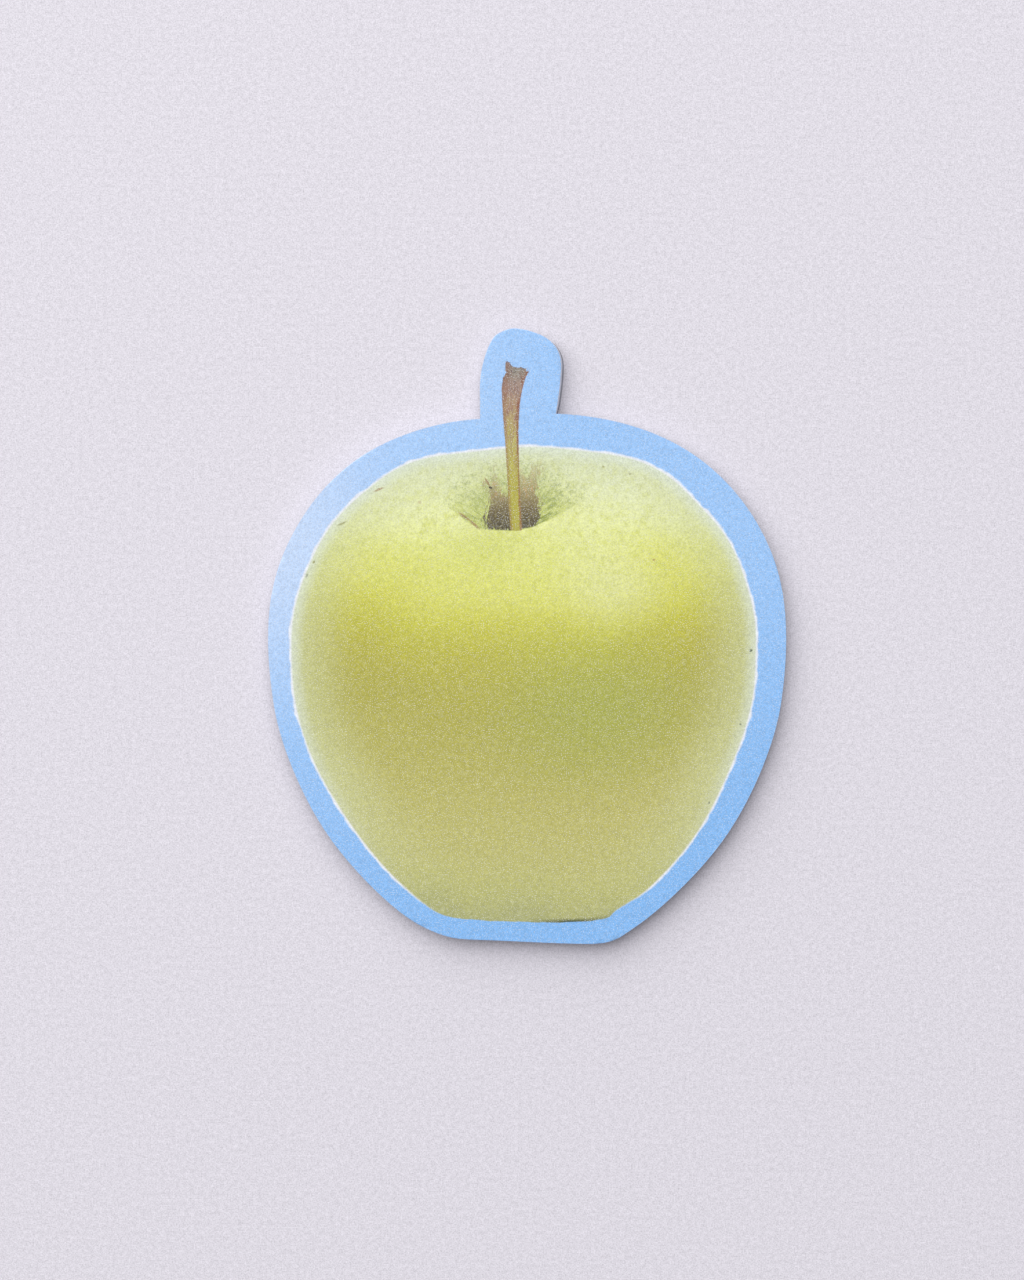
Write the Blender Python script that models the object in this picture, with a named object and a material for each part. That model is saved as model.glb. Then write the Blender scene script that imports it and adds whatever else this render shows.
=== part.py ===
"""A die-cut picture card: one flat piece of thick white pulp board, lying on its back.

Its outline is an apple's, with a level foot and a stem tab on top. The printed face looks up (+Z),
the tab points along +Y, and the origin is the centre of the card's box, on the surface it lies on.
"""

import math

import bmesh
import bpy
from mathutils import Vector
from mathutils.geometry import interpolate_bezier

MM = 0.001

# Driving dimensions, in millimetres.
THICKNESS = 3.2
SHOULDER_RADIUS = 0.16  # the cutting rule presses the printed face's edge round
CUT_LEAN = Vector((0.20, -0.14))  # the foot of the cut wall lies this far from the face's edge
TAB_WALL_LEAN = 0.3  # the tab's right wall leans out this much more
TAB_WALL_SPAN = (38.0, 52.0)  # from the tab's root to its crown
TAB_WALL_RISE = 2.5  # how steeply that lean comes in at both ends of the span

# The printed face's outline, anticlockwise: two smooth runs that meet in the sharp corners at the
# tab's root. Each knot is x, y and the handle that leaves it; the handle into it is the opposite.
BODY_RUN = (
    (-8.1, 37.3, -4.6, -0.2),
    (-27.2, 31.7, -6.9, -4.0),
    (-42.5, 12.7, -3.0, -8.0),
    (-43.6, -11.9, 1.1, -7.1),
    (-33.8, -35.0, 4.6, -6.4),
    (-18.1, -50.0, 4.0, -1.9),
    (-8.4, -52.3, 4.3, -0.1),
    (12.7, -52.9, 2.4, 0.4),
    (19.0, -49.8, 3.6, 2.5),
    (33.8, -35.0, 4.6, 6.4),
    (43.6, -11.9, 1.1, 7.1),
    (42.6, 12.7, -2.7, 7.8),
    (27.0, 32.2, -7.5, 4.5),
    (4.9, 38.2, -6.0, 0.2),
)
TAB_RUN = (
    (4.9, 38.2, 0.4, 2.6),
    (5.8, 46.2, 0.1, 2.9),
    (0.9, 52.3, -3.4, 1.0),
    (-5.0, 52.0, -1.8, -0.9),
    (-8.1, 44.0, -0.1, -1.8),
    (-8.1, 37.3, 0.0, -1.5),
)
BODY_STEPS = 20  # straight runs between two knots
TAB_STEPS = 14
SHOULDER_SEGMENTS = 2

BOARD_WHITE = (0.78, 0.79, 0.83, 1.0)
PRINT_GREEN = (0.58, 0.62, 0.14, 1.0)
BOARD_SLOT, PRINT_SLOT = 0, 1


def smooth_run(knots, steps):
    """The points of a smooth run through the knots, without its last point."""
    points = []
    for (x, y, out_x, out_y), (next_x, next_y, in_x, in_y) in zip(knots, knots[1:]):
        start = Vector((x, y))
        end = Vector((next_x, next_y))
        leaving = start + Vector((out_x, out_y))
        arriving = end - Vector((in_x, in_y))
        points.extend(interpolate_bezier(start, leaving, arriving, end, steps + 1)[:-1])
    return points


def wall_lean(x, y):
    """How far the foot of the cut wall lies from the printed face's edge at this point."""
    low, high = TAB_WALL_SPAN
    if x < 0 or not low < y < high:
        return CUT_LEAN
    along = (y - low) / (high - low)
    share = min(1.0, TAB_WALL_RISE * math.sin(math.pi * along))
    return CUT_LEAN + Vector((TAB_WALL_LEAN * share, 0))


def box_middle(points):
    """The middle of the box around the points."""
    xs = [point[0] for point in points]
    ys = [point[1] for point in points]
    return Vector(((min(xs) + max(xs)) / 2, (min(ys) + max(ys)) / 2))


def plain_material(name, colour, roughness):
    """A matte Principled material of one colour."""
    material = bpy.data.materials.new(name)
    material.use_nodes = True
    shader = material.node_tree.nodes["Principled BSDF"]
    shader.inputs["Base Color"].default_value = colour
    shader.inputs["Roughness"].default_value = roughness
    shader.inputs["Metallic"].default_value = 0.0
    return material


def card_mesh():
    """The card's mesh in metres: printed face, pressed shoulder, leaning cut wall and back."""
    face_edge = smooth_run(BODY_RUN, BODY_STEPS) + smooth_run(TAB_RUN, TAB_STEPS)
    wall_foot = [point + wall_lean(*point) for point in face_edge]
    middle = box_middle(face_edge + wall_foot)

    bm = bmesh.new()
    top = [bm.verts.new((*(point - middle), THICKNESS)) for point in face_edge]
    printed_face = bm.faces.new(top)
    rim = list(printed_face.edges)

    made = bmesh.ops.extrude_face_region(bm, geom=[printed_face], use_keep_orig=True)
    bottom = [item for item in made["geom"] if isinstance(item, bmesh.types.BMVert)]
    for vert in bottom:
        lean = wall_lean(*(vert.co.xy + middle))
        vert.co += Vector((*lean, -THICKNESS))
    for face in bm.faces:
        face.material_index = PRINT_SLOT if face is printed_face else BOARD_SLOT

    bmesh.ops.bevel(
        bm,
        geom=rim,
        affect="EDGES",
        offset=SHOULDER_RADIUS,
        segments=SHOULDER_SEGMENTS,
        profile=0.5,
        material=-1,
    )
    bmesh.ops.recalc_face_normals(bm, faces=bm.faces)
    bmesh.ops.scale(bm, vec=(MM, MM, MM), verts=bm.verts)
    mesh = bpy.data.meshes.new("picture_card")
    bm.to_mesh(mesh)
    bm.free()
    return mesh


def main():
    for obj in list(bpy.data.objects):
        bpy.data.objects.remove(obj)
    card = bpy.data.objects.new("picture_card", card_mesh())
    card.data.materials.append(plain_material("white_board", BOARD_WHITE, 0.85))
    card.data.materials.append(plain_material("printed_board", PRINT_GREEN, 0.7))
    bpy.context.scene.collection.objects.link(card)


main()
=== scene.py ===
# %% [markdown]
# # A die-cut picture card
#
# The object is one flat piece of thick white pulp board. A steel rule cut it out in an apple's
# outline with a stem tab, after its face was printed in matte ink: a green apple on a light blue
# ground. This lesson builds the board first, then the print, then the bare edge and back.
#
# The solid from the CAD model fixes every size. Nothing here moves it: the finished mesh starts as
# a copy of it, so the two can't disagree.

# %% Load the frame
import math

import bmesh
import bpy
import numpy as np
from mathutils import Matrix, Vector, noise
from mathutils.geometry import interpolate_bezier


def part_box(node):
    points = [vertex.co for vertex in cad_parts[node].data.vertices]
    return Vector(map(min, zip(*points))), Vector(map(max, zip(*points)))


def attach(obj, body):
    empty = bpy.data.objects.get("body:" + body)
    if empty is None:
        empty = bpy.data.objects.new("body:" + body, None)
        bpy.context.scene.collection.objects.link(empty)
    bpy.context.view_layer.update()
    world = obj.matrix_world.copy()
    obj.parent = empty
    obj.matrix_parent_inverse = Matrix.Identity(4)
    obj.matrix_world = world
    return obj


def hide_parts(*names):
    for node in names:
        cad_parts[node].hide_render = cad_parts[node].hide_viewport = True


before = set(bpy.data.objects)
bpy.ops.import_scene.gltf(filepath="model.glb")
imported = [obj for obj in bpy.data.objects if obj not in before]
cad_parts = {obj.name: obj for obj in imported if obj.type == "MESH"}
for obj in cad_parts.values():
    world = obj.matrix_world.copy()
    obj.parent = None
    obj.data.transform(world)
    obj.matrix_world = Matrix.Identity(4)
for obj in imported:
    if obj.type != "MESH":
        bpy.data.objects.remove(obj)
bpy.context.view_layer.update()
MM = 0.001
low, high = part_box("picture_card")
size = high - low
print("card, in mm:", [round(length / MM, 2) for length in size])

# %% [markdown]
# ## Camera
#
# The card lies on its back and is seen from straight above, a little left of its middle. A long
# lens far away keeps the outline free of perspective. The view is 220 mm tall.

# %% Camera
VIEW_HEIGHT = 220.2 * MM
VIEW_MIDDLE = Vector((-2.7, -0.6)) * MM
SENSOR = 36.0
LENS = 150.0

camera = bpy.data.objects.new("camera", bpy.data.cameras.new("camera"))
camera.data.lens = LENS
camera.data.sensor_width = SENSOR
camera.location = (*VIEW_MIDDLE, high.z + VIEW_HEIGHT * LENS / SENSOR)
bpy.context.scene.collection.objects.link(camera)
bpy.context.scene.camera = camera
bpy.context.scene.view_settings.view_transform = "Standard"
print("camera height, in mm:", round(camera.location.z / MM))

# %% [markdown]
# ## The board
#
# The CAD solid comes as loose triangles. A merged copy of it has its flat faces joined into one
# printed face and one back, and the wall's triangles into quads. The ink was there before the rule
# pressed the face's edge round, so the rounded shoulder is printed too.
#
# The print's outlines will be stored on the vertices, so the flat faces need an even net of them.
# Cutting the whole board with rows of parallel planes gives that net and keeps the die-cut outline
# exactly as it is. The net is finer round the stem, whose outline has small corners.

# %% The board's mesh, from the CAD solid
PRINT, EDGE, BACK = range(3)  # material slots
FLAT = 0.999  # a normal's Z on the printed face; less than its negative on the back
SHOULDER_SLOPE = 0.3  # a normal's Z where the pressed shoulder ends and the cut wall begins

bm = bmesh.new()
bm.from_mesh(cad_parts["picture_card"].data)
bmesh.ops.remove_doubles(bm, verts=bm.verts, dist=0.001 * MM)
bm.normal_update()
for face in bm.faces:
    face.material_index = PRINT if face.normal.z > SHOULDER_SLOPE else EDGE
printed = [face for face in bm.faces if face.normal.z > FLAT]
bare_back = [face for face in bm.faces if face.normal.z < -FLAT]
walls = [face for face in bm.faces if abs(face.normal.z) <= FLAT]
for faces, slot in ((printed, PRINT), (bare_back, BACK)):
    whole = bmesh.ops.dissolve_faces(bm, faces=faces, use_verts=False)["region"]
    for face in whole:
        face.material_index = slot
bmesh.ops.join_triangles(
    bm,
    faces=walls,
    angle_face_threshold=math.radians(3),
    angle_shape_threshold=math.radians(60),
)
print("faces after joining:", len(bm.faces))


# %% Cut an even net into the board
COARSE = 1.0
FINE = 0.5
RIM_GAP = 0.2  # no plane stands closer to the outline's ends than this
STEM_X = (-8.0, 4.0)
STEM_Y = (16.0, 53.0)
WALL_LEVELS = [0.4, 0.9, 1.4, 1.9, 2.4, 2.8]


def cut_positions(lowest, highest, fine_range):
    """Where the planes stand along one axis, in mm: every COARSE, and every FINE in a range."""
    coarse = np.arange(math.ceil(lowest), math.floor(highest) + COARSE, COARSE)
    fine = np.arange(fine_range[0], fine_range[1], FINE)
    both = sorted({*coarse, *fine})
    return [float(at) for at in both if lowest + RIM_GAP < at < highest - RIM_GAP]


def cut(bm, axis, positions):
    """Cuts the whole mesh with planes across the axis."""
    normal = Vector((0, 0, 0))
    normal[axis] = 1
    for position in positions:
        bmesh.ops.bisect_plane(
            bm,
            geom=bm.verts[:] + bm.edges[:] + bm.faces[:],
            dist=0.0005 * MM,
            plane_co=normal * position * MM,
            plane_no=normal,
        )


cut(bm, 0, cut_positions(low.x / MM, high.x / MM, STEM_X))
cut(bm, 1, cut_positions(low.y / MM, high.y / MM, STEM_Y))
cut(bm, 2, WALL_LEVELS)
print("faces after cutting:", len(bm.faces))

# %% [markdown]
# The cut wall of pulp board isn't glassy: the rule tears some fibres, so the wall is uneven by a
# few hundredths of a millimetre. Smooth noise along each vertex's normal does that. The rim and the
# foot stay where they are, so the size does too.

# %% Roughen the cut wall
WALL_UNEVEN = 0.035 * MM
FIBRE_SIZE = 0.9 * MM
RIM_HEIGHT = 0.3 * MM  # the wall stays as it is this near its top and its foot

bm.normal_update()
lowest, highest = low.z + RIM_HEIGHT, high.z - RIM_HEIGHT
wall_verts = [vert for vert in bm.verts if lowest < vert.co.z < highest]
for vert in wall_verts:
    place = Vector((vert.co.x, vert.co.y, vert.co.z * 2)) / FIBRE_SIZE
    outward = Vector((vert.normal.x, vert.normal.y, 0)).normalized()
    vert.co += outward * WALL_UNEVEN * noise.noise(place)
print("wall vertices:", len(wall_verts))

# %% Finish the board's mesh
card = bpy.data.objects.new("printed_card", bpy.data.meshes.new("printed_card"))
bm.to_mesh(card.data)
bm.free()
card.data.shade_smooth()
card.data.set_sharp_from_angle(angle=math.radians(20))
bpy.context.scene.collection.objects.link(card)

# %% [markdown]
# ## The print's outlines
#
# The picture has a few crisp shapes: the apple, its stem, the brown patch in the hollow round the
# stem's foot and the hollow's front lip. Painting them on vertices would blur them. Instead each
# vertex stores its distance from the shape's outline, which changes evenly from vertex to vertex,
# and the material compares that distance with zero: the line comes out sharp at any zoom.
#
# The outlines are drawn in millimetres from the card's middle. The apple is a closed run of
# smooth knots, each with the handle that leaves it.

# %% The apple's outline
APPLE_KNOTS = (
    (-8.2, 32.1, -7.5, -0.8),
    (-26.1, 26.7, -5.7, -4.5),
    (-37.9, 12.0, -3.2, -7.5),
    (-40.7, -6.1, 0.3, -6.6),
    (-34.0, -27.1, 4.5, -7.4),
    (-21.5, -43.0, 4.0, -3.6),
    (-14.1, -48.1, 2.2, -0.9),
    (14.3, -48.1, 1.3, 1.9),
    (21.7, -42.7, 3.5, 3.4),
    (33.1, -26.9, 3.7, 8.0),
    (39.3, -6.1, 0.2, 6.8),
    (37.5, 10.0, -2.4, 7.6),
    (27.0, 25.4, -5.4, 5.5),
    (7.9, 32.3, -7.5, 0.8),
)
KNOT_STEPS = 16


def closed_run(knots):
    """The points of a smooth closed run through the knots."""
    points = []
    for here, there in zip(knots, (*knots[1:], knots[0])):
        start = Vector(here[:2])
        end = Vector(there[:2])
        leaving = start + Vector(here[2:])
        arriving = end - Vector(there[2:])
        points.extend(interpolate_bezier(start, leaving, arriving, end, KNOT_STEPS + 1)[:-1])
    return np.array(points)


apple = closed_run(APPLE_KNOTS)
print("apple picture, in mm:", np.round(np.ptp(apple, axis=0), 1))

# %% [markdown]
# The stem and the brown patch have small corners, so straight runs between points suit them. The
# stem widens to a torn top.

# %% The outlines of the stem and the brown patch
STEM = np.array(
    (
        (-2.95, 18.2),
        (-3.3, 23.0),
        (-3.5, 27.0),
        (-3.85, 33.0),
        (-4.1, 36.0),
        (-4.35, 39.5),
        (-4.5, 42.8),
        (-4.2, 44.6),
        (-3.75, 45.3),
        (-3.85, 46.2),
        (-3.75, 47.3),
        (-3.4, 47.5),
        (-2.5, 46.4),
        (-0.8, 46.3),
        (0.2, 45.7),
        (-0.3, 44.6),
        (-0.75, 43.2),
        (-1.2, 41.2),
        (-1.45, 38.8),
        (-1.6, 35.5),
        (-1.5, 30.0),
        (-1.3, 24.0),
        (-0.95, 18.2),
    )
)
RUSSET = np.array(
    (
        (-7.1, 17.8),
        (-7.5, 20.4),
        (-6.9, 22.0),
        (-6.5, 24.2),
        (-7.7, 26.8),
        (-6.6, 26.4),
        (-5.9, 29.2),
        (-5.1, 27.2),
        (-4.3, 24.6),
        (-3.6, 24.2),
        (-1.6, 28.8),
        (-0.2, 27.6),
        (1.3, 30.0),
        (2.6, 29.8),
        (1.9, 27.0),
        (1.7, 25.0),
        (2.2, 22.0),
        (1.9, 18.6),
        (-0.9, 17.8),
    )
)


def edge_distance(points, outline):
    """Each point's distance from a closed outline: more than zero inside it, less outside."""
    starts = outline
    runs = np.roll(outline, -1, axis=0) - starts
    nearest = np.full(len(points), np.inf)
    inside = np.zeros(len(points), bool)
    for start, run in zip(starts, runs):
        offset = points - start
        along = np.clip(offset @ run / (run @ run), 0, 1)
        gap = np.linalg.norm(offset - along[:, None] * run, axis=1)
        nearest = np.minimum(nearest, gap)
        crosses = (offset[:, 1] > 0) != (offset[:, 1] > run[1])
        reach = run[0] * offset[:, 1] / (run[1] if run[1] else 1)
        inside ^= crosses & (offset[:, 0] < reach)
    return np.where(inside, nearest, -nearest)


# %% [markdown]
# Two more measures belong to the picture. One runs across the stem, from -1 at its left side to 1
# at its right, for the darker sides of the round stem. The other is the height above the front
# lip of the hollow, which is a shallow curve.

# %% Store the print's measures on the mesh
# Each pair is a place and the value there, in mm.
LIP = (
    (-14.0, 22.5),
    (-10.5, 19.6),
    (-8.0, 18.35),
    (-2.9, 18.1),
    (0.8, 18.7),
    (5.5, 20.8),
    (9.0, 23.0),
)
STEM_MIDDLE = ((18.0, -1.95), (27.0, -2.5), (33.0, -2.75), (39.5, -2.9), (45.0, -1.9))
STEM_HALF_WIDTH = ((18.0, 1.0), (30.0, 1.15), (39.5, 1.45), (43.0, 1.9), (47.0, 2.1))


def between(at, pairs):
    """Reads a value between the pairs' values."""
    places, values = zip(*pairs)
    return np.interp(at, places, values)


def store(mesh, name, values):
    """Keeps one number for each vertex, under a name that a material can read."""
    attribute = mesh.attributes.new(name, "FLOAT", "POINT")
    attribute.data.foreach_set("value", values.astype(np.float32))


flat = np.empty(len(card.data.vertices) * 3, np.float32)
card.data.vertices.foreach_get("co", flat)
spots = flat.reshape(-1, 3)[:, :2].astype(float) / MM
store(card.data, "apple_edge", edge_distance(spots, apple))
store(card.data, "stem_edge", edge_distance(spots, STEM))
store(card.data, "russet_edge", edge_distance(spots, RUSSET))
from_middle = spots[:, 0] - between(spots[:, 1], STEM_MIDDLE)
store(card.data, "stem_across", from_middle / between(spots[:, 1], STEM_HALF_WIDTH))
store(card.data, "lip_rise", spots[:, 1] - between(spots[:, 0], LIP))
stored = [kept.name for kept in card.data.attributes if kept.data_type == "FLOAT"]
print("measures stored:", stored)

# %% [markdown]
# ## Tools for the materials
#
# The inks are named by their colour on screen, from 0 to 255, and turned into the linear values
# that a shader takes. A few helpers keep the node trees short: each adds one node and returns its
# output, so a tree reads like a sum.


# %% Helpers that add nodes
def linear(red, green, blue):
    """A screen colour as the linear colour that a shader takes."""
    shares = [channel / 255 for channel in (red, green, blue)]
    return (*[s / 12.92 if s <= 0.04045 else ((s + 0.055) / 1.055) ** 2.4 for s in shares], 1.0)


def put(tree, socket, value):
    """Links a socket to an output, or sets its own value."""
    if isinstance(value, bpy.types.NodeSocket):
        tree.links.new(value, socket)
    else:
        socket.default_value = value


def calc(tree, operation, first, second=0.0, third=0.0, clamp=False):
    """One Math node."""
    node = tree.nodes.new("ShaderNodeMath")
    node.operation = operation
    node.use_clamp = clamp
    for socket, value in zip(node.inputs, (first, second, third)):
        put(tree, socket, value)
    return node.outputs[0]


def rise(tree, value, start, end, smooth=True):
    """0 where the value is at start, 1 where it is at end, and smooth between."""
    node = tree.nodes.new("ShaderNodeMapRange")
    node.interpolation_type = "SMOOTHSTEP" if smooth else "LINEAR"
    put(tree, node.inputs["Value"], value)
    node.inputs["From Min"].default_value = start
    node.inputs["From Max"].default_value = end
    return node.outputs["Result"]


def blend(tree, share, under, over, mode="MIX"):
    """One colour mixed over another."""
    node = tree.nodes.new("ShaderNodeMix")
    node.data_type = "RGBA"
    node.blend_type = mode
    put(tree, node.inputs[0], share)
    put(tree, node.inputs[6], under)
    put(tree, node.inputs[7], over)
    return node.outputs[2]


def colour_ramp(tree, value, stops):
    """A colour that follows the value through (place, colour) stops."""
    node = tree.nodes.new("ShaderNodeValToRGB")
    ramp = node.color_ramp
    ramp.interpolation = "B_SPLINE"
    ramp.elements[0].position, ramp.elements[0].color = stops[0]
    ramp.elements[1].position, ramp.elements[1].color = stops[-1]
    for place, colour in stops[1:-1]:
        ramp.elements.new(place).color = colour
    put(tree, node.inputs[0], value)
    return node.outputs[0]


def speckle(tree, place, scale, detail=1.0, roughness=0.5):
    """Smooth noise from 0 to 1, in grains of about 1 / scale."""
    node = tree.nodes.new("ShaderNodeTexNoise")
    node.inputs["Scale"].default_value = scale
    node.inputs["Detail"].default_value = detail
    node.inputs["Roughness"].default_value = roughness
    put(tree, node.inputs["Vector"], place)
    return node.outputs["Fac"]


def measure(tree, name):
    """A number that the mesh stores on its vertices."""
    node = tree.nodes.new("ShaderNodeAttribute")
    node.attribute_name = name
    return node.outputs["Fac"]


def near(tree, place, middle, radius, stretch=(1.0, 1.0), turn=0.0):
    """1 at a spot on the card, falling smoothly to 0 at a radius from it."""
    node = tree.nodes.new("ShaderNodeMapping")
    node.vector_type = "TEXTURE"
    node.inputs["Location"].default_value = (*middle, 0)
    node.inputs["Rotation"].default_value = (0, 0, math.radians(turn))
    node.inputs["Scale"].default_value = (radius * stretch[0], radius * stretch[1], 1000)
    put(tree, node.inputs["Vector"], place)
    length = tree.nodes.new("ShaderNodeVectorMath")
    length.operation = "LENGTH"
    tree.links.new(node.outputs[0], length.inputs[0])
    return rise(tree, length.outputs["Value"], 1.0, 0.0)


def across_and_up(tree, place):
    """The X and Y of a place on the card."""
    split = tree.nodes.new("ShaderNodeSeparateXYZ")
    put(tree, split.inputs[0], place)
    return split.outputs["X"], split.outputs["Y"]


def scaled(tree, place, factors):
    """A place stretched along its axes, for streaky noise."""
    node = tree.nodes.new("ShaderNodeMapping")
    node.inputs["Scale"].default_value = factors
    put(tree, node.inputs["Vector"], place)
    return node.outputs[0]


def follow(tree, value, pairs):
    """A number that follows the value smoothly through (place, number) pairs."""
    places, numbers = zip(*pairs)
    lowest, highest = min(numbers), max(numbers)
    span = places[-1] - places[0]
    shares = [(number - lowest) / (highest - lowest) for number in numbers]
    stops = [((at - places[0]) / span, (grey, grey, grey, 1)) for at, grey in zip(places, shares)]
    grey = colour_ramp(tree, rise(tree, value, places[0], places[-1], False), stops)
    return calc(tree, "MULTIPLY_ADD", grey, highest - lowest, lowest)


def in_millimetres(tree):
    """The place on the piece, in millimetres."""
    coordinates = tree.nodes.new("ShaderNodeTexCoord")
    larger = tree.nodes.new("ShaderNodeVectorMath")
    larger.operation = "SCALE"
    larger.inputs["Scale"].default_value = 1 / MM
    tree.links.new(coordinates.outputs["Object"], larger.inputs[0])
    return larger.outputs[0]


def new_material(name, roughness):
    """A matte material, with its tree and its shader."""
    material = bpy.data.materials.new(name)
    material.use_nodes = True
    shader = material.node_tree.nodes["Principled BSDF"]
    shader.inputs["Roughness"].default_value = roughness
    shader.inputs["Specular IOR Level"].default_value = 0.2
    return material, material.node_tree, shader


# %% [markdown]
# ## Board texture, as a node group
#
# Print, edge, back and even the floor are pulp, so they share one effect. Pulp is mottled, because
# ink and light sink between its fibres, and on the print the highest fibres miss the ink and show
# as pale specks. A node group holds the effect once, and each material sets its own strengths.


# %% The board's grain
def grain_group():
    """A node group that mottles a colour and gives the height of the board's fibres."""
    tree = bpy.data.node_groups.new("board_grain", "ShaderNodeTree")
    inputs = (("Place", "Vector"), ("Colour", "Color"), ("Mottle", "Float"), ("Specks", "Float"))
    for name, kind in inputs:
        tree.interface.new_socket(name, in_out="INPUT", socket_type=f"NodeSocket{kind}")
    for name, kind in (("Colour", "Color"), ("Height", "Float")):
        tree.interface.new_socket(name, in_out="OUTPUT", socket_type=f"NodeSocket{kind}")
    given = tree.nodes.new("NodeGroupInput").outputs
    result = tree.nodes.new("NodeGroupOutput").inputs

    fine = speckle(tree, given["Place"], 4.2, 1.0, 0.6)
    coarse = speckle(tree, given["Place"], 1.2, 2.0, 0.55)
    both = calc(tree, "MULTIPLY_ADD", fine, 0.7, calc(tree, "MULTIPLY", coarse, 0.3))
    centred = calc(tree, "SUBTRACT", both, 0.5)
    factor = calc(tree, "MULTIPLY_ADD", centred, given["Mottle"], 1.0)
    mottled = tree.nodes.new("ShaderNodeVectorMath")
    mottled.operation = "SCALE"
    tree.links.new(given["Colour"], mottled.inputs[0])
    tree.links.new(factor, mottled.inputs["Scale"])
    bare = rise(tree, speckle(tree, given["Place"], 5.6, 0.0), 0.55, 0.85)
    shown = calc(tree, "MULTIPLY", bare, given["Specks"])
    speckled = blend(tree, shown, mottled.outputs[0], linear(240, 242, 246))
    tree.links.new(speckled, result["Colour"])
    tree.links.new(both, result["Height"])
    return tree


grain = grain_group()


def add_grain(tree, place, colour, mottle, specks=0.0):
    """Places the board's grain in a material. Returns its mottled colour and its height."""
    node = tree.nodes.new("ShaderNodeGroup")
    node.node_tree = grain
    node.inputs["Mottle"].default_value = mottle
    node.inputs["Specks"].default_value = specks
    put(tree, node.inputs["Place"], place)
    put(tree, node.inputs["Colour"], colour)
    return node.outputs["Colour"], node.outputs["Height"]


def add_relief(tree, shader, height, depth):
    """Turns a height into a bump on the shader, its depth in millimetres."""
    bump = tree.nodes.new("ShaderNodeBump")
    bump.inputs["Distance"].default_value = depth * MM
    bump.inputs["Strength"].default_value = 1.0
    put(tree, bump.inputs["Height"], height)
    tree.links.new(bump.outputs["Normal"], shader.inputs["Normal"])


# %% [markdown]
# ## The print
#
# The picture is put together as a printer's layers are. First comes the light blue ground, palest
# at the upper left, where the lamp's sheen on the ink is painted into it. Then comes the apple: a
# colour ramp runs down it, from pale green at the shoulders through a yellow-green band to olive,
# and is lightened towards the apple's sides.


# %% The blue ground
def blue_ground(tree, place):
    """The ground's colour, with a painted sheen: paler at the upper left, deeper at the foot."""
    across, up = across_and_up(tree, place)
    # Painted sheen: the colour is paler at the upper left and by the tab, deeper to the lower
    # right.
    slant = calc(tree, "MULTIPLY_ADD", across, -0.35, up)
    deep = rise(tree, slant, 8.0, -52.0)
    colour = blend(tree, deep, linear(158, 201, 250), linear(136, 189, 245))
    pale = near(tree, place, (-45.0, 18.0), 42.0, (0.85, 1.0))
    colour = blend(tree, calc(tree, "MULTIPLY", pale, 0.9), colour, linear(206, 225, 253))
    shoulder = near(tree, place, (-15.0, 42.0), 25.0)
    return blend(tree, calc(tree, "MULTIPLY", shoulder, 0.45), colour, linear(187, 217, 254))


# %% The apple's skin
SKIN_COLOURS = (
    # height in mm, ink
    (-49.0, (172, 174, 118)),
    (-45.0, (188, 188, 114)),
    (-40.0, (194, 191, 116)),
    (-31.0, (192, 187, 106)),
    (-22.0, (184, 179, 90)),
    (-13.0, (180, 175, 78)),
    (-6.0, (188, 183, 71)),
    (-1.0, (199, 197, 74)),
    (2.5, (211, 210, 86)),
    (6.5, (221, 222, 112)),
    (11.5, (224, 226, 118)),
    (15.0, (231, 235, 144)),
    (19.0, (237, 242, 174)),
    (25.0, (240, 246, 198)),
    (29.0, (237, 246, 216)),
    (33.0, (230, 241, 220)),
)
SWAY = (
    # across in mm, how far the ramp is lifted there in mm
    (-42.0, 9.0),
    (-32.0, 6.5),
    (-22.0, 3.0),
    (-12.0, 0.5),
    (2.0, 0.5),
    (9.0, -1.0),
    (16.0, 1.2),
    (23.0, 3.4),
    (30.0, 6.5),
    (42.0, 11.0),
)


def skin(tree, place):
    """The apple's colour, before its rim, its hollow and its stem."""
    across, up = across_and_up(tree, place)
    lifted = calc(tree, "MULTIPLY", follow(tree, across, SWAY), rise(tree, up, 24.0, 10.0))
    drift = calc(tree, "SUBTRACT", speckle(tree, place, 0.12, 3.0), 0.5)
    height = calc(tree, "SUBTRACT", calc(tree, "MULTIPLY_ADD", drift, 6.0, up), lifted)
    bottom, top = SKIN_COLOURS[0][0], SKIN_COLOURS[-1][0]
    stops = [((at - bottom) / (top - bottom), linear(*ink)) for at, ink in SKIN_COLOURS]
    colour = colour_ramp(tree, rise(tree, height, bottom, top, False), stops)

    yellower = near(tree, place, (-2.0, 20.0), 24.0, (1.15, 0.75))
    colour = blend(tree, calc(tree, "MULTIPLY", yellower, 0.5), colour, linear(230, 235, 140))
    gleam = near(tree, place, (14.0, 9.5), 12.0, (1.1, 0.85), -20)
    colour = blend(tree, calc(tree, "MULTIPLY", gleam, 0.5), colour, linear(234, 238, 182))
    under_lip = near(tree, place, (-7.0, 15.5), 8.0, (1.4, 0.7))
    colour = blend(tree, calc(tree, "MULTIPLY", under_lip, 0.5), colour, linear(206, 212, 104))
    greener = near(tree, place, (12.0, -12.0), 26.0, (1.0, 0.75))
    colour = blend(tree, calc(tree, "MULTIPLY", greener, 0.55), colour, linear(166, 176, 84))

    blotches = rise(tree, speckle(tree, place, 0.7, 5.0, 0.8), 0.46, 0.62)
    blotches = calc(tree, "MULTIPLY", blotches, rise(tree, up, -2.0, 14.0))
    colour = blend(tree, calc(tree, "MULTIPLY", blotches, 0.5), colour, linear(208, 213, 96))
    gleams = rise(tree, speckle(tree, place, 1.0, 4.0, 0.8), 0.52, 0.68)
    return blend(tree, calc(tree, "MULTIPLY", gleams, 0.16), colour, linear(244, 244, 196))


# %% [markdown]
# Next come the rim and the hollow. The rim uses the distance from the apple's outline: a thin
# white line, where ink of neither colour meets, and a pale glow inside it. The foot has no glow,
# but a thin dark contact line. The hollow has streaks that run towards the stem's foot, which
# polar coordinates give, and the brown patch.


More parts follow.
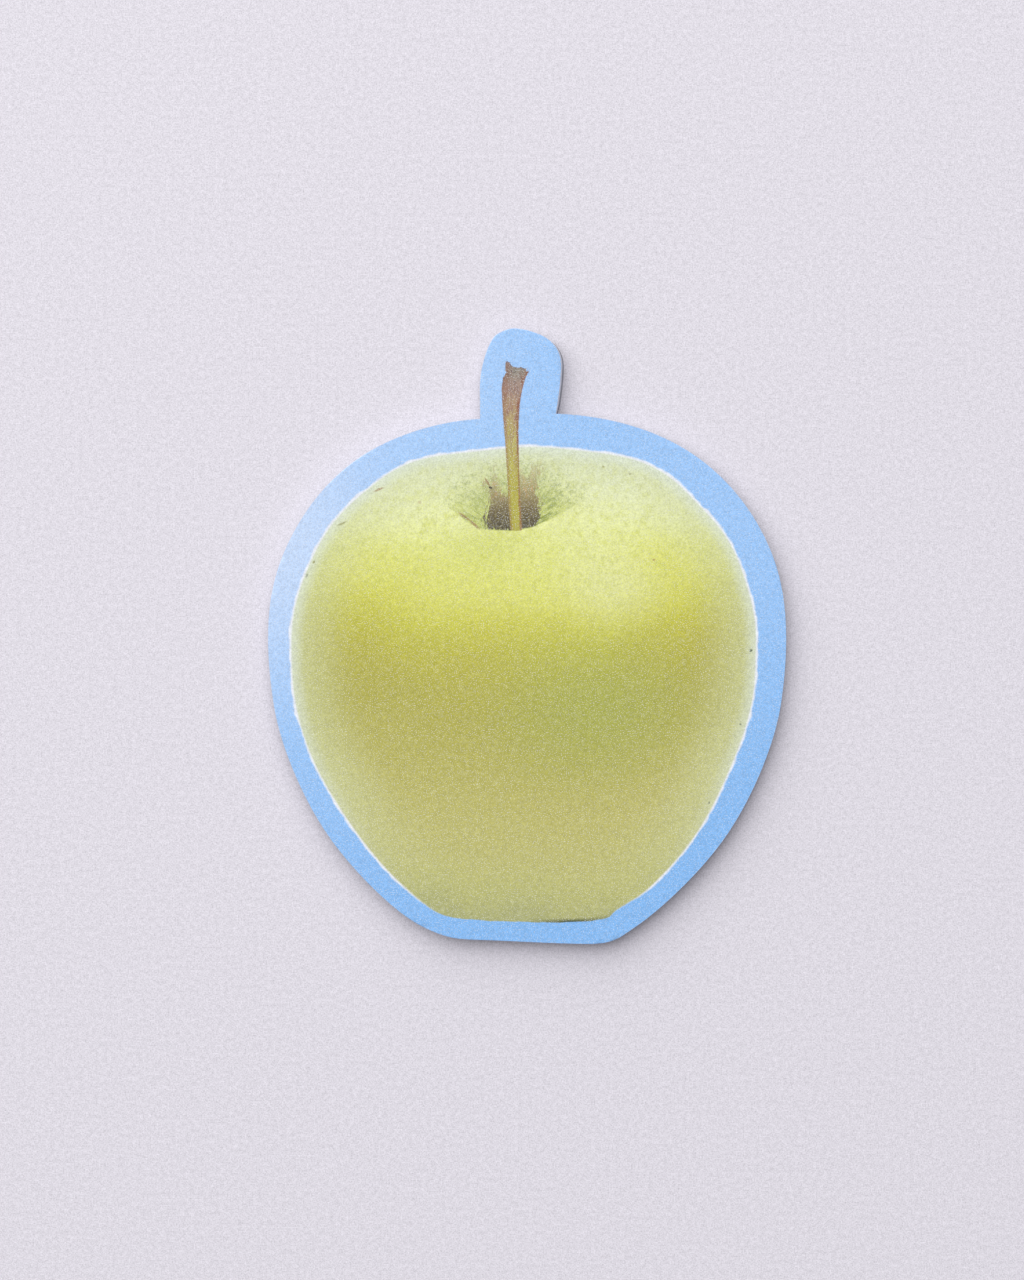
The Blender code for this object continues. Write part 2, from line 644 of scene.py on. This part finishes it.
# %% The apple's rim
def rim(tree, place, colour, edge):
    """The pale glow inside the apple's outline, and the dark line under its foot."""
    _, up = across_and_up(tree, place)
    wide = calc(tree, "MULTIPLY", rise(tree, edge, 12.0, 0.0), rise(tree, up, -49.0, -20.0))
    colour = blend(tree, calc(tree, "MULTIPLY", wide, 0.64), colour, linear(210, 216, 164))
    narrow = calc(tree, "MULTIPLY", rise(tree, edge, 2.8, 0.0), rise(tree, up, -52.0, 0.0))
    colour = blend(tree, calc(tree, "MULTIPLY", narrow, 0.65), colour, linear(222, 232, 220))
    foot = calc(tree, "MULTIPLY", rise(tree, edge, 0.8, 0.1), near(tree, place, (7.5, -49.0), 9.5))
    return blend(tree, foot, colour, linear(84, 92, 62))


# %% The hollow round the stem's foot
STEM_FOOT = (-2.4, 17.5)


def hollow(tree, place, colour):
    """The streaked hollow, its brown patch and its front lip."""
    centred = tree.nodes.new("ShaderNodeVectorMath")
    centred.operation = "SUBTRACT"
    centred.inputs[1].default_value = (*STEM_FOOT, 0)
    put(tree, centred.inputs[0], place)
    across, up = across_and_up(tree, centred.outputs[0])
    angle = calc(tree, "ARCTAN2", up, across)
    squares = [calc(tree, "POWER", side, 2.0) for side in (across, up)]
    reach = calc(tree, "SQRT", calc(tree, "ADD", *squares))
    polar = tree.nodes.new("ShaderNodeCombineXYZ")
    put(tree, polar.inputs["X"], calc(tree, "MULTIPLY", angle, 13.0))
    put(tree, polar.inputs["Y"], calc(tree, "MULTIPLY", reach, 0.4))
    streaks = rise(tree, speckle(tree, polar.outputs[0], 1.0, 4.0, 0.72), 0.42, 0.6)

    over_lip = rise(tree, measure(tree, "lip_rise"), -0.05, 0.3)
    bowl = calc(tree, "MULTIPLY", rise(tree, reach, 15.0, 5.5), over_lip)
    colour = blend(tree, calc(tree, "MULTIPLY", bowl, 0.8), colour, linear(196, 205, 116))
    right_wall = calc(tree, "MULTIPLY_ADD", rise(tree, across, -2.0, 4.0), 0.35, 0.65)
    shade = calc(tree, "MULTIPLY", calc(tree, "MULTIPLY", bowl, streaks), right_wall)
    colour = blend(tree, calc(tree, "MULTIPLY", shade, 0.85), colour, linear(138, 152, 70))

    ring = calc(tree, "MULTIPLY", rise(tree, reach, 16.5, 11.0), rise(tree, reach, 4.0, 9.0))
    ring = calc(tree, "MULTIPLY", ring, rise(tree, up, 3.0, 8.0))
    dots = rise(tree, speckle(tree, place, 1.5, 4.0, 0.78), 0.5, 0.62)
    dots = calc(tree, "MULTIPLY", dots, ring)
    colour = blend(tree, calc(tree, "MULTIPLY", dots, 0.8), colour, linear(144, 160, 82))

    brushed = speckle(tree, scaled(tree, place, (3.2, 0.9, 1)), 1.0, 5.0, 0.75)
    ragged = calc(tree, "SUBTRACT", brushed, 0.5)
    patch = calc(tree, "MULTIPLY_ADD", ragged, 6.0, measure(tree, "russet_edge"))
    patch = calc(tree, "MULTIPLY", rise(tree, patch, -0.2, 0.5), over_lip)
    thin = rise(tree, up, 12.5, 5.0)
    patch = calc(tree, "MULTIPLY", patch, calc(tree, "MULTIPLY_ADD", thin, 0.35, 0.65))
    brown = blend(tree, rise(tree, up, 9.5, 1.0), linear(152, 130, 86), linear(92, 86, 66))
    flecks = rise(tree, speckle(tree, place, 2.6, 3.0, 0.8), 0.5, 0.62)
    brown = blend(tree, calc(tree, "MULTIPLY", flecks, 0.45), brown, linear(176, 168, 116))
    orange = rise(tree, speckle(tree, scaled(tree, place, (2.2, 0.7, 1)), 1.0, 2.0), 0.5, 0.62)
    orange = calc(tree, "MULTIPLY", orange, rise(tree, up, 5.0, 8.0))
    brown = blend(tree, calc(tree, "MULTIPLY", orange, 0.6), brown, linear(196, 142, 92))
    return blend(tree, patch, colour, brown)


# %% [markdown]
# A real apple isn't spotless, and neither is this picture. A few small marks are placed one by
# one: brown scratches on the shoulder, dark dots near the rim, and reddish streaks by the lip.

# %% Marks
BROWN = (166, 128, 78)
REDDISH = (150, 104, 78)
OLIVE = (152, 150, 88)
DARK = (92, 104, 80)
MARKS = (
    # middle in mm, length, width, turn in degrees, ink, strength
    ((-25.6, 25.3), 1.4, 0.28, 22, BROWN, 0.75),
    ((-32.0, 19.4), 1.3, 0.28, 24, OLIVE, 0.7),
    ((-36.8, 12.8), 0.4, 0.3, 50, OLIVE, 0.8),
    ((-38.0, 10.5), 0.6, 0.25, 60, DARK, 0.6),
    ((-18.6, 23.1), 0.5, 0.4, 0, BROWN, 0.4),
    ((38.4, -2.4), 0.45, 0.35, 30, DARK, 0.9),
    ((36.6, -15.1), 0.3, 0.25, 0, DARK, 0.7),
    ((31.2, -28.6), 0.35, 0.25, 80, DARK, 0.7),
    ((21.7, 13.2), 0.4, 0.3, 20, BROWN, 0.7),
    ((17.6, 28.0), 0.35, 0.3, 0, OLIVE, 0.7),
    ((13.0, 29.2), 0.35, 0.3, 0, OLIVE, 0.7),
    ((-6.4, 25.6), 0.5, 0.3, -20, (60, 62, 50), 1.0),
    ((-7.0, 26.6), 1.2, 0.25, -60, REDDISH, 0.7),
    ((-11.0, 20.7), 1.7, 0.35, -35, REDDISH, 0.65),
    ((-9.2, 19.3), 1.9, 0.35, -42, REDDISH, 0.7),
)


def marks(tree, place, colour):
    """The picture's small blemishes."""
    ragged = speckle(tree, place, 2.2, 2.0)
    for middle, length, width, turn, ink, strength in MARKS:
        spot = near(tree, place, middle, 1.0, (length, width), turn)
        share = calc(tree, "MULTIPLY", spot, calc(tree, "MULTIPLY", ragged, 3.0 * strength))
        colour = blend(tree, calc(tree, "MINIMUM", share, strength), colour, linear(*ink))
    return colour


# %% [markdown]
# The stem is drawn last, over apple and ground. Its bark is streaked along its length: olive below,
# tan and pink above, and a grey torn top. Its sides are a red-brown line, where it turns away.

# %% The stem
STEM_COLOURS = (
    (17.0, (182, 176, 78)),
    (27.0, (188, 182, 78)),
    (31.0, (190, 182, 98)),
    (36.0, (188, 174, 110)),
    (40.0, (178, 148, 122)),
    (43.5, (166, 142, 134)),
    (45.5, (150, 152, 134)),
    (48.0, (142, 112, 118)),
)
TAN_SHARE = ((17.0, 0.0), (28.0, 0.15), (35.0, 0.65), (40.0, 0.9), (48.0, 0.2))


def stem(tree, place, colour):
    """The stem over whatever is under it."""
    _, up = across_and_up(tree, place)
    streak = speckle(tree, scaled(tree, place, (2.6, 0.55, 1)), 1.0, 4.0, 0.7)
    bottom, top = STEM_COLOURS[0][0], STEM_COLOURS[-1][0]
    stops = [((at - bottom) / (top - bottom), linear(*ink)) for at, ink in STEM_COLOURS]
    height = calc(tree, "MULTIPLY_ADD", calc(tree, "SUBTRACT", streak, 0.5), 7.0, up)
    bark = colour_ramp(tree, rise(tree, height, bottom, top, False), stops)
    tan = calc(tree, "MULTIPLY", rise(tree, streak, 0.45, 0.62), follow(tree, up, TAN_SHARE))
    bark = blend(tree, tan, bark, linear(154, 116, 102))
    dark = rise(tree, speckle(tree, place, 2.3, 3.0, 0.75), 0.53, 0.64)
    dark = calc(tree, "MULTIPLY", dark, rise(tree, up, 38.0, 45.0))
    bark = blend(tree, calc(tree, "MULTIPLY", dark, 0.75), bark, linear(92, 76, 82))

    side = calc(tree, "ADD", measure(tree, "stem_across"), calc(tree, "SUBTRACT", streak, 0.5))
    left = calc(tree, "MULTIPLY", rise(tree, side, -0.4, -0.9), 0.55)
    bark = blend(tree, left, bark, linear(146, 104, 84))
    right = calc(tree, "MULTIPLY", rise(tree, side, 0.5, 0.85), 0.75)
    bark = blend(tree, right, bark, linear(142, 88, 66))
    mottle = calc(tree, "SUBTRACT", speckle(tree, place, 1.6, 3.0, 0.7), 0.5)
    tear = calc(tree, "MULTIPLY_ADD", rise(tree, up, 43.0, 46.0), 0.8, 0.2)
    edge = calc(tree, "MULTIPLY_ADD", mottle, tear, measure(tree, "stem_edge"))
    return blend(tree, rise(tree, edge, -0.1, 0.1), colour, bark)


# %% The whole print
def printed_face():
    """The material of the printed face."""
    material, tree, shader = new_material("printed_face", 0.7)
    place = in_millimetres(tree)
    wobble = calc(tree, "SUBTRACT", speckle(tree, place, 0.35, 3.0, 0.6), 0.5)
    edge = calc(tree, "MULTIPLY_ADD", wobble, 0.5, measure(tree, "apple_edge"))

    apple_colour = hollow(tree, place, skin(tree, place))
    apple_colour = marks(tree, place, rim(tree, place, apple_colour, edge))
    colour = blend(tree, rise(tree, edge, -0.1, 0.1), blue_ground(tree, place), apple_colour)

    _, up = across_and_up(tree, place)
    line = calc(tree, "ABSOLUTE", calc(tree, "DIVIDE", edge, 0.32))
    line = calc(tree, "SUBTRACT", calc(tree, "MULTIPLY_ADD", wobble, 1.6, 1.0), line, clamp=True)
    line = calc(tree, "MULTIPLY", line, rise(tree, up, -48.5, -42.0))
    colour = stem(tree, place, blend(tree, line, colour, linear(240, 243, 250)))

    mottled, height = add_grain(tree, place, colour, 0.84, 0.65)
    tree.links.new(mottled, shader.inputs["Base Color"])
    add_relief(tree, shader, height, 0.02)
    return material


# %% [markdown]
# ## Bare board
#
# The cut edge and the back show the board itself: white pulp with a faint lilac cast, a few grey
# and straw-coloured fibres, and on the edge fine lines where its layers were pressed together. The
# lower part of the edge is darkened with painted shade, grey towards its foot. Real board is white
# all the way down, but a white wall would throw so much light on the floor that a bright rim showed
# there instead of a soft shadow.


# %% Cut edge and back
def bare_board(name, colour, layers_and_shaded_foot):
    """Unprinted board's material; on the edge, its layer lines and a painted shade at the foot."""
    material, tree, shader = new_material(name, 0.85)
    place = in_millimetres(tree)
    fibres = rise(tree, speckle(tree, place, 2.4, 2.0, 0.7), 0.66, 0.74)
    shown = blend(tree, calc(tree, "MULTIPLY", fibres, 0.35), colour, linear(168, 160, 150))
    if layers_and_shaded_foot:
        layers = speckle(tree, scaled(tree, place, (0.25, 0.25, 5.0)), 1.0, 2.0)
        layers = calc(tree, "MULTIPLY", rise(tree, layers, 0.4, 0.75), 0.3)
        shown = blend(tree, layers, shown, linear(180, 184, 205))
        # Painted shade: the edge turns grey towards its foot, where it meets the floor.
        split = tree.nodes.new("ShaderNodeSeparateXYZ")
        put(tree, split.inputs[0], place)
        foot = calc(tree, "MULTIPLY", rise(tree, split.outputs["Z"], 2.5, 0.9), 0.8)
        shown = blend(tree, foot, shown, linear(112, 114, 126))
    mottled, height = add_grain(tree, place, shown, 0.3)
    tree.links.new(mottled, shader.inputs["Base Color"])
    add_relief(tree, shader, height, 0.04)
    return material


card.data.materials.append(printed_face())
card.data.materials.append(bare_board("cut_edge", linear(236, 239, 250), True))
card.data.materials.append(bare_board("bare_back", linear(222, 221, 224), False))
print("materials:", [material.name for material in card.data.materials])

# %% The card rides on the frame
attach(card, "root")
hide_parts("picture_card")

# %% [markdown]
# ## Floor and light
#
# The card lies on a plain pale floor. One large soft lamp stands at the upper left, so the shadow
# falls to the right and below, and a pale world fills it in.

# %% Floor
FLOOR_SIZE = 2.0  # from the middle to a side, in m
FLOOR_GAP = 0.02 * MM  # keeps the floor out of the card's back

floor_mesh = bpy.data.meshes.new("floor")
bm = bmesh.new()
bmesh.ops.create_grid(bm, x_segments=1, y_segments=1, size=FLOOR_SIZE)
bmesh.ops.translate(bm, verts=bm.verts, vec=(0, 0, low.z - FLOOR_GAP))
bm.to_mesh(floor_mesh)
bm.free()
floor = bpy.data.objects.new("floor", floor_mesh)
bpy.context.scene.collection.objects.link(floor)
floor_material, floor_tree, floor_shader = new_material("pale_floor", 0.9)
floor_place = in_millimetres(floor_tree)
flecks = rise(floor_tree, speckle(floor_tree, floor_place, 1.8, 3.0, 0.8), 0.68, 0.74)
flecks = calc(floor_tree, "MULTIPLY", flecks, 0.6)
floor_grey = blend(floor_tree, flecks, linear(228, 224, 232), linear(140, 138, 146))
floor_colour, _ = add_grain(floor_tree, floor_place, floor_grey, 1.0)
floor_tree.links.new(floor_colour, floor_shader.inputs["Base Color"])
floor.data.materials.append(floor_material)

# %% Lights
LAMP_TURN = math.radians(119)  # from +X towards +Y
LAMP_HEIGHT = math.radians(43)  # above the floor
LAMP_DISTANCE = 2.2
LAMP_SIZE = 4.2  # across, in m: the larger it is, the softer the shadow
LAMP_POWER = 81.0
FILL = 0.37  # the pale world's strength

level = math.cos(LAMP_HEIGHT)
lamp_way = Vector(
    (level * math.cos(LAMP_TURN), level * math.sin(LAMP_TURN), math.sin(LAMP_HEIGHT))
)
lamp = bpy.data.objects.new("lamp", bpy.data.lights.new("lamp", "AREA"))
lamp.data.shape = "DISK"
lamp.data.size = LAMP_SIZE
lamp.data.energy = LAMP_POWER
lamp.location = lamp_way * LAMP_DISTANCE
lamp.rotation_euler = lamp_way.to_track_quat("Z", "Y").to_euler()
lamp.visible_camera = False
bpy.context.scene.collection.objects.link(lamp)

world = bpy.data.worlds.new("studio")
world.use_nodes = True
world.node_tree.nodes["Background"].inputs["Color"].default_value = linear(252, 252, 255)
world.node_tree.nodes["Background"].inputs["Strength"].default_value = FILL
bpy.context.scene.world = world
